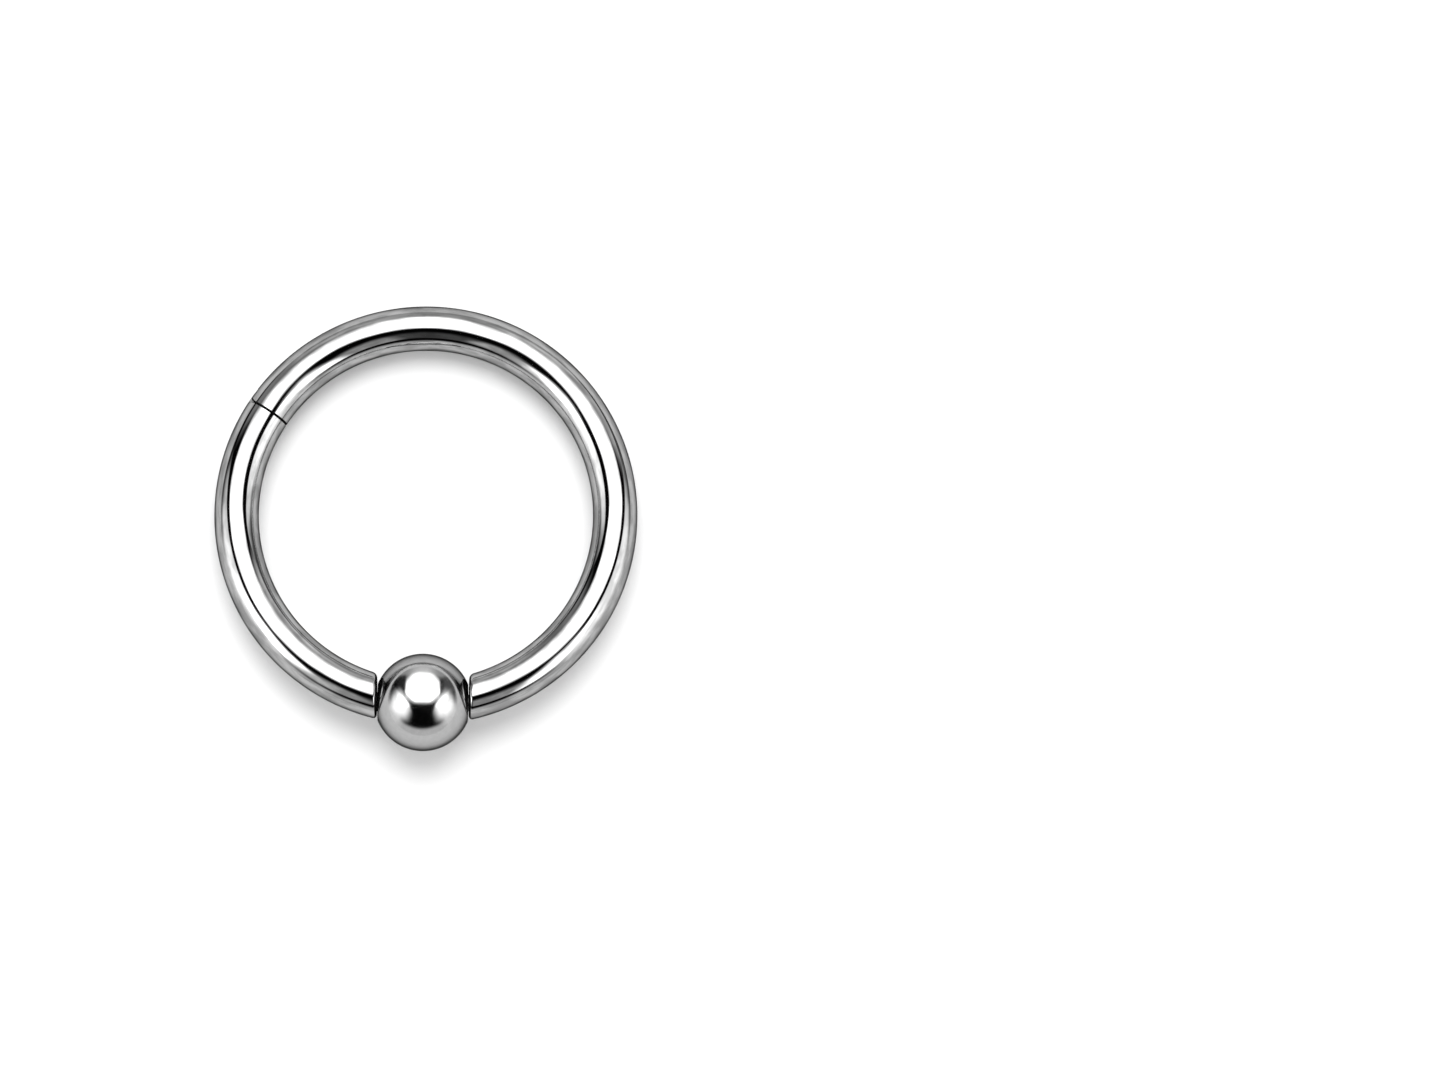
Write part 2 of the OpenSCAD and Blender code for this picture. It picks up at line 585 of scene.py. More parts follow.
class NodeSheet:
    """Adds nodes to a node tree and joins them, with values or other nodes' outputs as inputs."""

    def __init__(self, tree: bpy.types.NodeTree) -> None:
        """Empties the tree."""
        self.tree = tree
        tree.nodes.clear()

    def fill(self, node: bpy.types.Node, inputs: Inputs) -> None:
        """Sets a node's inputs, by their names or numbers, or links them to outputs.

        Args:
            node: the node.
            inputs: a value or an output for each of these inputs.
        """
        for key, value in inputs.items():
            if isinstance(value, Socket):
                self.tree.links.new(value, node.inputs[key])
            else:
                node.inputs[key].default_value = value

    def add(self, kind: str, inputs: Optional[Inputs] = None, **settings: object) -> bpy.types.Node:
        """A new node.

        Args:
            kind: its type.
            inputs: what goes into its inputs.
            settings: its other settings.

        Returns:
            The node.
        """
        node = self.tree.nodes.new(kind)
        for name, value in settings.items():
            setattr(node, name, value)
        self.fill(node, inputs or {})
        return node

    def math(self, how: str, *numbers: Input) -> Socket:
        """The result of a Math node."""
        return self.add("ShaderNodeMath", dict(enumerate(numbers)), operation=how).outputs[0]

    def length(self, x: Input, y: Input) -> Socket:
        """The length of a vector of two numbers."""
        return self.math("SQRT", self.math("ADD", self.math("MULTIPLY", x, x), self.math("MULTIPLY", y, y)))

    def ramp(
        self, value: Input, edges: tuple[float, float], levels: tuple[Input, Input] = (0.0, 1.0)
    ) -> Socket:
        """A smooth step from one level to another.

        Args:
            value: the number that decides.
            edges: where it stands at the first level and at the second.
            levels: the two levels.

        Returns:
            The result.
        """
        names = ("Value", "From Min", "From Max", "To Min", "To Max")
        inputs = dict(zip(names, (value, *edges, *levels)))
        return self.add("ShaderNodeMapRange", inputs, interpolation_type="SMOOTHSTEP").outputs["Result"]

    def blend(self, share: Input, first: Input, second: Input) -> Socket:
        """The first number where the share is 0, and the second where it is 1."""
        return self.add("ShaderNodeMix", {0: share, 2: first, 3: second}, data_type="FLOAT").outputs[0]

    def split(self, vector: Input) -> tuple[Socket, ...]:
        """The three numbers of a vector."""
        return tuple(self.add("ShaderNodeSeparateXYZ", {0: vector}).outputs)

    def join(self, x: Input, y: Input, z: Input = 0.0) -> Socket:
        """A vector of three numbers."""
        return self.add("ShaderNodeCombineXYZ", {0: x, 1: y, 2: z}).outputs[0]

    def along(self, vector: Input, east: float, north: float) -> Socket:
        """How far a vector reaches in a direction.

        Args:
            vector: the vector.
            east: how far east the direction points, at any scale.
            north: how far north it points, at the same scale.

        Returns:
            The distance.
        """
        size = math.hypot(east, north)
        inputs = {0: vector, 1: (east / size, north / size, 0.0)}
        return self.add("ShaderNodeVectorMath", inputs, operation="DOT_PRODUCT").outputs["Value"]

    def grey(self, tone: Input) -> Socket:
        """A grey of a tone."""
        return self.add("ShaderNodeCombineColor", {0: tone, 1: tone, 2: tone}).outputs[0]

    def noise(self, place: Input, scale: float, detail: float, fourth: Optional[Input] = None) -> Socket:
        """A noise pattern.

        Args:
            place: a vector that says where in the pattern.
            scale: how close the pattern lies.
            detail: how many finer layers it has.
            fourth: one more number of the place, if the pattern has four dimensions.

        Returns:
            The pattern, about 0 to 1.
        """
        dimensions = "3D" if fourth is None else "4D"
        node = self.add("ShaderNodeTexNoise", noise_dimensions=dimensions)
        self.fill(node, {"Vector": place, "Scale": scale, "Detail": detail})
        if fourth is not None:
            self.fill(node, {"W": fourth})
        return node.outputs["Fac"]

    def bump(self, height: Input, depth: float, under: Optional[Socket] = None) -> Socket:
        """Normals of a surface that a pattern raises.

        Args:
            height: the pattern.
            depth: how far it raises the surface, in metres.
            under: the normals that it starts from, if not the mesh's own.

        Returns:
            The normals.
        """
        inputs: Inputs = {"Distance": depth, "Height": height}
        if under is not None:
            inputs["Normal"] = under
        return self.add("ShaderNodeBump", inputs).outputs["Normal"]


def new_material(name: str) -> tuple[bpy.types.Material, NodeSheet, bpy.types.Node]:
    """Makes a material that shows a Principled shader.

    Args:
        name: the material's name.

    Returns:
        The material, its nodes and the shader.
    """
    material = bpy.data.materials.new(name)
    material.use_nodes = True
    sheet = NodeSheet(material.node_tree)
    out = sheet.add("ShaderNodeOutputMaterial")
    shader = sheet.add("ShaderNodeBsdfPrincipled")
    sheet.fill(out, {"Surface": shader.outputs["BSDF"]})
    return material, sheet, shader


@dataclass(frozen=True)
class SteelFinish:
    """Steel with a polish: how bright it mirrors, how sharp, and how even.

    Attributes:
        name: the material's name.
        grain: which way its fine lines run.
        tone: the metal's own colour, linear.
        edge: its colour near a glancing angle, kept low so that it paints shade along the outline.
        tone_spread: how much the lines change the colour.
        tone_span: the part of the lines' pattern, about 0 to 1, over which they change it.
        gloss: roughness of the polish at its best.
        gloss_spread: how much rougher it gets in patches.
        patch_low: the waves' pattern, about 0 to 1, in the smoothest patches.
        line_share: how much rougher the lines make it, as a share of the polish's roughness.
        wave_height: height of the slow waves that polishing leaves, in millimetres.
        wave_pitch: how close these waves lie, per millimetre.
        wave_detail: how many finer layers the waves have.
        line_height: depth of the fine lines, in millimetres.
        line_pitch: how close these lines lie, per millimetre.
        line_run: how fast they change along the wire, per radian.
        line_detail: how many finer layers the lines have.
    """

    name: str
    grain: Grain = Grain.ALL_WAYS
    tone: float = 0.45
    edge: float = 0.08
    tone_spread: float = 0.2
    tone_span: tuple[float, float] = (0.35, 0.65)
    gloss: float = 0.03
    gloss_spread: float = 0.04
    patch_low: float = 0.25
    line_share: float = 0.5
    wave_height: float = 0.0015
    wave_pitch: float = 0.6
    wave_detail: float = 1.0
    line_height: float = 0.0003
    line_pitch: float = 4.0
    line_run: float = 8.0
    line_detail: float = 3.0

    def lines(self, sheet: NodeSheet, place: Socket, centre_r: float) -> Socket:
        """The pattern of fine lines.

        Args:
            sheet: the node tree.
            place: position in the ring's frame, in millimetres.
            centre_r: radius of the ring at the wire's centre line.

        Returns:
            The pattern, about 0 to 1.
        """
        if self.grain is Grain.ALL_WAYS:
            return sheet.noise(place, self.line_pitch, self.line_detail)
        x, y, z = sheet.split(place)
        out = sheet.length(x, y)
        across = sheet.math("MULTIPLY", sheet.math("SUBTRACT", out, centre_r), self.line_pitch)
        height = sheet.math("MULTIPLY", z, self.line_pitch)
        shares = (sheet.math("DIVIDE", way, out) for way in (x, y))
        east, north = (sheet.math("MULTIPLY", share, self.line_run) for share in shares)
        return sheet.noise(sheet.join(across, height, east), 1.0, self.line_detail, north)

    def build(self, lay: RingLay) -> bpy.types.Material:
        """The material, with its colour, roughness and bump from noise in the ring's own frame.

        Args:
            lay: how the ring lies.

        Returns:
            The new material.
        """
        material, sheet, shader = new_material(self.name)
        spot, turn, size = lay.matrix.decompose()
        frame_map = sheet.add("ShaderNodeMapping", {
            "Vector": sheet.add("ShaderNodeTexCoord").outputs["Object"],
            "Location": spot,
            "Rotation": turn.to_euler(),
            "Scale": size,
        }, vector_type="TEXTURE")
        place = frame_map.outputs["Vector"]
        wave = sheet.noise(place, self.wave_pitch, self.wave_detail)
        line = self.lines(sheet, place, lay.sizes.centre_r)
        smoothest = self.gloss - self.gloss_spread * self.patch_low
        patches = sheet.math("MULTIPLY_ADD", wave, self.gloss_spread, smoothest)
        half = self.tone_spread / 2
        streaks = sheet.ramp(line, self.tone_span, (-half, half))
        waves = sheet.bump(wave, self.wave_height * MM)
        sheet.fill(shader, {
            "Metallic": 1.0,
            # painted shade: the low glancing colour darkens the outline of the steel, standing in for the
            # floor's shade that it mirrors there
            "Specular Tint": (self.edge, self.edge, self.edge, 1.0),
            "Roughness": sheet.math("MULTIPLY_ADD", line, self.gloss * self.line_share, patches),
            "Base Color": sheet.grey(sheet.math("ADD", streaks, self.tone)),
            "Normal": sheet.bump(line, self.line_height * MM, waves),
        })
        return material


DRAWN_WIRE = SteelFinish("polished_wire", grain=Grain.ALONG_WIRE)
TURNED_BALL = SteelFinish(
    "polished_ball", tone=0.52, tone_spread=0.03, gloss=0.08, line_height=0.0, line_pitch=5.0
)
# Partly real and partly painted shade: the hinge's inner faces, the flat ends and the pin are unpolished
# and rougher, and their low tone also paints the shade of the hinge's hollows.
UNPOLISHED_SHADED = SteelFinish(
    "unpolished_shaded_steel", tone=0.16, tone_spread=0.06, gloss=0.3, gloss_spread=0.2, line_pitch=20.0
)
# Painted shade: near-black steel on the broken edges in the seam and beside the bead, standing in for the
# shade in those narrow gaps.
PAINTED_SHADE_EDGE = SteelFinish(
    "painted_shade_edge", tone=0.015, edge=0.01, tone_spread=0.006, gloss=0.45, line_pitch=20.0
)


@dataclass(frozen=True)
class PaperFinish:
    """The matt pale sheet that the ring lies on.

    Attributes:
        name: the material's name.
        tone: its colour, linear.
        mirrored: share of that colour that the steel mirrors, a painted shade that makes the floor darker
            in the steel than it is.
        roughness: how matt it is.
        shine: strength of its faint shine.
        grain_depth: how much its faint grain changes the colour.
        grain_scale: how close this grain lies, per metre.
        grain_detail: how many finer layers it has.
    """

    name: str = "pale_sheet"
    tone: float = 0.8
    mirrored: float = 0.68
    roughness: float = 0.9
    shine: float = 0.1
    grain_depth: float = 0.006
    grain_scale: float = 2500.0
    grain_detail: float = 2.0

    def build(self) -> bpy.types.Material:
        """The material, with a very faint grain, and darker as painted shade where the steel mirrors it.

        Returns:
            The new material.
        """
        material, sheet, shader = new_material(self.name)
        place = sheet.add("ShaderNodeTexCoord").outputs["Object"]
        grain = sheet.noise(place, self.grain_scale, self.grain_detail)
        even = sheet.math("MULTIPLY_ADD", grain, self.grain_depth, self.tone - self.grain_depth / 2)
        # painted shade: the floor is darker where the steel mirrors it than where the camera and the lamps
        # see it
        glossy = sheet.add("ShaderNodeLightPath").outputs["Is Glossy Ray"]
        share = sheet.math("MULTIPLY_ADD", glossy, self.mirrored - 1.0, 1.0)
        sheet.fill(shader, {
            "Roughness": self.roughness,
            "Specular IOR Level": self.shine,
            "Base Color": sheet.grey(sheet.math("MULTIPLY", even, share)),
        })
        return material


# Pieces


def place_piece(item: Object, body: Body, node: str) -> Object:
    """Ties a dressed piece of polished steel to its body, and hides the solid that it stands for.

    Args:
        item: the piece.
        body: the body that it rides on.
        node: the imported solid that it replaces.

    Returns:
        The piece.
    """
    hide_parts(node)
    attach(item, body.value)
    return item


@dataclass
class WireArc(ABC):
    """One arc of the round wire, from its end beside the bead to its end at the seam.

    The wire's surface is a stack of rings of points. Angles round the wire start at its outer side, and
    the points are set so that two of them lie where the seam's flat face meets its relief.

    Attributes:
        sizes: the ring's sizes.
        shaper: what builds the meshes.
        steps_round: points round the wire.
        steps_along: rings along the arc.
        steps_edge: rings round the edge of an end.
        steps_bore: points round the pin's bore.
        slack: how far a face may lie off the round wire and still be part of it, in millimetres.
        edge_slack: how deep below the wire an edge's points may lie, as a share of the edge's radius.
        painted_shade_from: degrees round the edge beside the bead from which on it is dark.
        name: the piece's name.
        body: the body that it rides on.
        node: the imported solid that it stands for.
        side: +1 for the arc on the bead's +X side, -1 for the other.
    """

    name: ClassVar[str]
    body: ClassVar[Body]
    node: ClassVar[str]
    side: ClassVar[int]

    sizes: RingSizes
    shaper: Shaper
    steps_round: int = 132
    steps_along: int = 300
    steps_edge: int = 8
    steps_bore: int = 64
    slack: float = 6e-4
    edge_slack: float = 1.001
    # painted shade: beyond this angle the edge beside the bead is near-black, as the gap against the bead
    # falls into shade
    painted_shade_from: float = 30.0

    @property
    @abstractmethod
    def relief(self) -> tuple[float, float]:
        """The relief plane at the seam: its lean in radians and its distance from the pin."""

    @abstractmethod
    def fit_out(self, item: Object) -> list[Surface]:
        """Cuts and joins what the arc has at its ends, and gives the curved surfaces of that."""

    @property
    def seam_face(self) -> float:
        """Distance of the flat face from the seam's own plane, along the wire."""
        return -self.side * self.sizes.seam_gap / 2

    @property
    def pin_place(self) -> tuple[float, float]:
        """The pin's axis in the seam's frame: outward, and along the wire from the seam."""
        return self.sizes.centre_r + self.sizes.pin_offset, -self.sizes.pin_setback

    @property
    def crease_out(self) -> float:
        """Where the relief starts.

        Returns:
            The crease's distance outward from the wire's centre line.
        """
        lean, distance = self.relief
        out, back = self.pin_place
        x = (distance - (self.seam_face - back) * math.cos(lean)) / math.sin(lean)
        return x + out - self.sizes.centre_r

    @property
    def outer_steps(self) -> int:
        """How many of a ring's points lie on the relief's side of the crease."""
        return round(self.steps_round * math.acos(self.crease_out / self.sizes.wire_r) / math.pi)

    def edge_radius(self, end: ArcEnd) -> float:
        """Radius of the broken edge of an end."""
        return self.sizes.end_round if end is ArcEnd.BESIDE_BEAD else self.sizes.seam_round

    def round_angles(self, end: ArcEnd, minor: float) -> np.ndarray:
        """Angles round the wire of the points on a ring, from the crease on.

        Args:
            end: the end that the ring belongs to. At the seam its points follow the crease.
            minor: the radius that the section has there.

        Returns:
            The angles, in radians.
        """
        radius = minor if end is ArcEnd.AT_SEAM else self.sizes.wire_r
        share = math.acos(min(1.0, self.crease_out / radius))
        first = np.linspace(-share, share, self.outer_steps, endpoint=False)
        rest = np.linspace(share, FULL_TURN - share, self.steps_round - self.outer_steps, endpoint=False)
        return np.concatenate([first, rest])

    def end_angle(self, end: ArcEnd, minor: float, phi: np.ndarray, inset: float) -> np.ndarray:
        """Angles round the ring at which the wire meets the planes that end it.

        Args:
            end: which end.
            minor: the radius that the section has there.
            phi: angles round the wire.
            inset: how far the planes are moved into the arc.

        Returns:
            The angles, one for each of phi.
        """
        s = self.sizes
        out = s.centre_r + minor * np.cos(phi)
        if end is ArcEnd.BESIDE_BEAD:
            swing = np.arcsin((s.face_x + inset) / out)
            return -math.pi / 2 + swing if self.side > 0 else 3 * math.pi / 2 - swing
        face = np.arcsin((self.seam_face - self.side * inset) / out)
        lean, distance = self.relief
        pin_out, pin_back = self.pin_place
        plane = distance - self.side * inset + pin_out * math.sin(lean) + pin_back * math.cos(lean)
        leaning = np.arcsin(plane / out) - lean
        nearest = np.minimum(face, leaning) if self.side > 0 else np.maximum(face, leaning)
        return s.seam_at + nearest

    def section(self, end: ArcEnd, minor: float, inset: float) -> tuple[np.ndarray, np.ndarray]:
        """The points of a ring at an end, as angles round the wire and round the ring.

        Args:
            end: which end.
            minor: the radius that the section has there.
            inset: how far into the arc it lies.

        Returns:
            Both sets of angles.
        """
        phi = self.round_angles(end, minor)
        return phi, self.end_angle(end, minor, phi, inset)

    def ring_points(self, minor: float, phi: np.ndarray, theta: np.ndarray) -> np.ndarray:
        """Points on the wire, or on a thinner one inside it.

        Args:
            minor: radius of that wire.
            phi: angles round the wire.
            theta: angles round the ring.

        Returns:
            The points.
        """
        out = self.sizes.centre_r + minor * np.cos(phi)
        return np.stack([out * np.cos(theta), out * np.sin(theta), minor * np.sin(phi)], axis=-1)

    def edge_rings(self, end: ArcEnd) -> list[np.ndarray]:
        """The rings round the edge of an end, from the wire's surface to the flat face.

        Args:
            end: which end.

        Returns:
            The points of each ring.
        """
        radius = self.edge_radius(end)
        rings = []
        for turn in np.arange(self.steps_edge + 1) / self.steps_edge * math.pi / 2:
            minor = self.sizes.wire_r - radius * (1 - math.cos(turn))
            phi, theta = self.section(end, minor, radius * (1 - math.sin(turn)))
            rings.append(self.ring_points(minor, phi, theta))
        return rings

    def wire(self) -> Object:
        """The plain arc, before what it has at its ends is cut or joined.

        Returns:
            The arc, as a closed solid.
        """
        wire_r = self.sizes.wire_r
        ends = [self.section(end, wire_r, self.edge_radius(end)) for end in ArcEnd]
        (bead_phi, bead_theta), (seam_phi, seam_theta) = ends
        rings = self.edge_rings(ArcEnd.BESIDE_BEAD)[::-1]
        for step in range(1, self.steps_along):
            share = step / self.steps_along
            phi = bead_phi + (seam_phi - bead_phi) * share
            rings.append(self.ring_points(wire_r, phi, bead_theta + (seam_theta - bead_theta) * share))
        rings += self.edge_rings(ArcEnd.AT_SEAM)
        outer = self.outer_steps
        seam_faces = [tuple(range(outer + 1)), tuple(range(outer, self.steps_round)) + (0,)]
        return self.shaper.stack(self.name, rings, seam_faces)

    @property
    def seam_ways(self) -> tuple[np.ndarray, np.ndarray]:
        """The ways outward from the ring's centre and onward along the wire at the seam."""
        east, north = math.cos(self.sizes.seam_at), math.sin(self.sizes.seam_at)
        return np.array([east, north, 0.0]), np.array([-north, east, 0.0])

    def edge_surface(self, end: ArcEnd) -> Surface:
        """The rounded edge of an end, for its normals.

        Args:
            end: which end.

        Returns:
            A surface that counts as near wherever a point may lie on the edge.
        """
        s = self.sizes
        radius = self.edge_radius(end)
        wire = wire_surface(s)
        seam_out, seam_on = self.seam_ways
        lean = self.relief[0]
        crease = s.centre_r + self.crease_out

        def plane_normal(p: np.ndarray) -> np.ndarray:
            """Normals of the plane that ends the arc.

            Args:
                p: points near that end.

            Returns:
                The normal for each point.
            """
            if end is ArcEnd.BESIDE_BEAD:
                return np.broadcast_to(np.array([-self.side, 0.0, 0.0]), p.shape)
            flat = self.side * seam_on
            leaning = self.side * (seam_on * math.cos(lean) + seam_out * math.sin(lean))
            return np.where((p @ seam_out > crease)[..., None], leaning, flat)

        def normal(p: np.ndarray) -> np.ndarray:
            """Normals that turn from the wire's to the plane's."""
            cosine = np.clip(1 - wire.distance(p) / radius, 0.0, 1.0)[..., None]
            return unit(cosine * wire.normal(p) + np.sqrt(1 - cosine ** 2) * plane_normal(p))

        def distance(p: np.ndarray) -> np.ndarray:
            """Tells where a point may lie on this edge.

            Args:
                p: points anywhere on the arc.

            Returns:
                0 for those that may, and 1 for the others.
            """
            if end is ArcEnd.BESIDE_BEAD:
                near = (np.abs(p[..., 0]) < s.face_x + 2 * radius) & (p[..., 1] < 0)
            else:
                near = np.linalg.norm(p - seam_out * s.centre_r, axis=-1) < 2 * s.wire_r
            return np.where(near & (wire.distance(p) < radius * self.edge_slack), 0.0, 1.0)

        return Surface(distance, normal)

    def in_seam_frame(self, outline: Outline) -> Outline:
        """Moves an outline to its place at the seam.

        Args:
            outline: its points from the pin, outward and along the wire.

        Returns:
            The points in the ring's frame.
        """
        out, back = self.pin_place
        east, north = self.seam_ways[0][:2]
        return [
            ((x + out) * east - (y + back) * north, (x + out) * north + (y + back) * east)
            for x, y in outline
        ]

    @property
    def pin_centre(self) -> Place:
        """The pin's axis in the ring's frame, level with the wire's centre."""
        x, y = self.in_seam_frame([(0.0, 0.0)])[0]
        return x, y, 0.0

    def bore(self, radius: float, top: float) -> Object:
        """A round cutter on the pin's axis, from below the wire to a height."""
        circle = arc_outline(radius, 0.0, FULL_TURN, self.steps_bore)[:-1]
        return self.shaper.prism("bore", self.in_seam_frame(circle), -self.sizes.wire_d, top)

    def pick_finish(self, middle: np.ndarray, kind: np.ndarray) -> np.ndarray:
        """Polished outside, painted shade on the joints' broken edges, and the rest unpolished with painted
        shade.

        Args:
            middle: the faces' middles.
            kind: the number of the surface that each one follows, as in ArcForm for the first of them.

        Returns:
            The number of each face's finish, as in ArcLook.
        """
        deep = self.sizes.end_round * (1 - math.cos(math.radians(self.painted_shade_from)))
        sunk = wire_surface(self.sizes).distance(middle) > deep
        bead_edge = kind == ArcForm.BEAD_EDGE.value
        polished = (kind == ArcForm.WIRE.value) | (bead_edge & ~sunk)
        # painted shade: the seam's broken edges and the sunk part of those beside the bead get the
        # near-black finish
        dark = bead_edge | (kind == ArcForm.SEAM_EDGE.value)
        looks = [ArcLook.POLISHED.value, ArcLook.PAINTED_SHADE.value]
        return np.select([polished, dark], looks, ArcLook.UNPOLISHED_SHADED.value)

    def build(self, finishes: Finishes) -> Object:
        """Builds and dresses the arc, outside and inside the hinge.

        Args:
            finishes: its finishes, in the order of ArcLook.

        Returns:
            The piece.
        """
        item = self.wire()
        fittings = self.fit_out(item)
        wire = wire_surface(self.sizes)
        wire.slack = self.slack
        edges = [self.edge_surface(end) for end in ArcEnd]
        self.shaper.finish(item, [wire, *edges, *fittings], finishes, self.pick_finish)
        return place_piece(item, self.body, self.node)


@dataclass
class LongArc(WireArc):
    """The long arc, which carries the bead on a peg and holds the hinge's pin and slot.

    Attributes:
        steps_slot: steps round the inner corner of the slot.
        steps_peg: points round the peg.
    """

    name: ClassVar[str] = "long_arc"
    body: ClassVar[Body] = Body.RING
    node: ClassVar[str] = "main_arc"
    side: ClassVar[int] = 1

    steps_slot: int = 16
    steps_peg: int = 48

    @property
    def relief(self) -> tuple[float, float]:
        """Leans by what the segment's own relief leaves of the swing."""
        s = self.sizes
        return math.radians(s.swing_angle) - math.radians(s.relief_angle), s.relief_at - s.seam_gap

    def slot(self) -> Object:
        """The cutter for the tongue's slot, open to the outside and towards the seam.

        Returns:
            The cutter, as a closed solid.
        """
        s = self.sizes
        radius = s.knuckle_d / 2 + s.knuckle_play
        back = max(radius, s.pin_inset * math.sin(math.radians(s.swing_angle)) + s.knuckle_play)
        outline = [(-radius, s.wire_d)]
        outline += arc_outline(radius, math.pi, 1.5 * math.pi, self.steps_slot)
        outline += [(0.0, -back), (s.wire_d, -back), (s.wire_d, s.wire_d)]
        half = s.tongue_t / 2 + s.tongue_play
        return self.shaper.prism("slot", self.in_seam_frame(outline), -half, half)

    def peg(self) -> Object:
        """The peg that carries the bead.

        Returns:
            The peg, as a closed solid.
        """
        s = self.sizes
        profile = [(x, s.peg_d / 2) for x in (s.face_x - s.peg_length, s.face_x + s.end_round)]
        return self.shaper.turned("peg", profile, self.steps_peg)

    def fit_out(self, item: Object) -> list[Surface]:
        """Cuts the slot and the pin's bore, and joins the peg.

        Args:
            item: the plain arc.

        Returns:
            The wall of the bore.
        """
        s = self.sizes
        bore_r = s.pin_d / 2 + s.pin_fit
        self.shaper.combine(item, self.slot(), Combine.CUT)
        self.shaper.combine(item, self.bore(bore_r, s.pin_top + s.pin_fit), Combine.CUT)
        self.shaper.combine(item, self.peg(), Combine.JOIN)
        return [post_surface(self.pin_centre, bore_r, hollow=True)]


@dataclass
class ShortArc(WireArc):
    """The hinged short arc, with its tongue at the seam and its dome beside the bead.

    Attributes:
        tongue_sunk: how far the tongue's outside lies below the wire's, in millimetres.
        tongue_buried: how far the tongue reaches into the arc, in millimetres.
        steps_tongue: points round the wire that the tongue is cut from.
        rings_tongue: rings along that wire.
        steps_knuckle: steps round the tongue's end.
        steps_dome: points round the dome.
        rings_dome: rings from one pole of the dome's ball to the other.
        dome_pole: angle from a pole to the first of them, in radians.
    """

    name: ClassVar[str] = "short_arc"
    body: ClassVar[Body] = Body.SEGMENT
    node: ClassVar[str] = "hinged_segment"
    side: ClassVar[int] = -1

    steps_along: int = 150
    slack: float = 6e-3
    tongue_sunk: float = 0.004
    tongue_buried: float = 0.35
    steps_tongue: int = 96
    rings_tongue: int = 25
    steps_knuckle: int = 32
    steps_dome: int = 72
    rings_dome: int = 40
    dome_pole: float = 0.02

    @property
    def relief(self) -> tuple[float, float]:
        """Leans away from the seam by its own share of the swing."""
        return -math.radians(self.sizes.relief_angle), self.sizes.relief_at

    def tongue(self) -> Object:
        """The tongue, rounded about the pin, and as good as flush with the outside of the wire.

        Returns:
            The tongue, as a closed solid.
        """
        s = self.sizes
        phi = np.linspace(0, FULL_TURN, self.steps_tongue, endpoint=False)
        half = math.asin(s.wire_d / s.centre_r)
        minor = s.wire_r - self.tongue_sunk
        turns = s.seam_at + np.linspace(-half, half, self.rings_tongue)
        rings = [self.ring_points(minor, phi, np.full(self.steps_tongue, turn)) for turn in turns]
        item = self.shaper.stack("tongue", rings)
        radius = s.knuckle_d / 2
        far = s.pin_setback + self.tongue_buried
        outline = arc_outline(radius, math.pi, FULL_TURN, self.steps_knuckle)
        outline += [(s.wire_r, 0.0), (s.wire_r, far), (-radius, far)]
        profile = self.in_seam_frame(outline)
        keep = self.shaper.prism("tongue_profile", profile, -s.tongue_t / 2, s.tongue_t / 2)
        self.shaper.combine(item, keep, Combine.KEEP_SHARED)
        return item

    @property
    def dome_ball(self) -> tuple[float, float]:
        """The ball that the dome is part of.

        Returns:
            Its centre's place along X, and its radius.
        """
        s = self.sizes
        height = s.face_x - s.dimple_x - s.dome_gap
        radius = cap_ball_r(s.dome_d / 2, height)
        return -s.face_x + height - radius, radius

    def dome(self) -> Object:
        """The dome that seats in the bead's dimple.

        Returns:
            The whole ball that it is part of, as a closed solid.
        """
        centre, radius = self.dome_ball
        polar = np.linspace(self.dome_pole, math.pi - self.dome_pole, self.rings_dome)
        profile = [(centre + radius * math.cos(a), radius * math.sin(a)) for a in polar]
        return self.shaper.turned("dome", profile, self.steps_dome)

    def fit_out(self, item: Object) -> list[Surface]:
        """Joins the tongue, cuts the pin's bore, and joins the dome.

        Args:
            item: the plain arc.

        Returns:
            The dome, the tongue's round end and the wall of the bore.
        """
        s = self.sizes
        bore_r = s.pin_d / 2 + s.pin_play
        self.shaper.combine(item, self.tongue(), Combine.JOIN)
        self.shaper.combine(item, self.bore(bore_r, s.wire_d), Combine.CUT)
        self.shaper.combine(item, self.dome(), Combine.JOIN)
        centre, radius = self.dome_ball
        return [
            ball_surface((centre, -s.centre_r, 0.0), radius),
            post_surface(self.pin_centre, s.knuckle_d / 2),
            post_surface(self.pin_centre, bore_r, hollow=True),
        ]


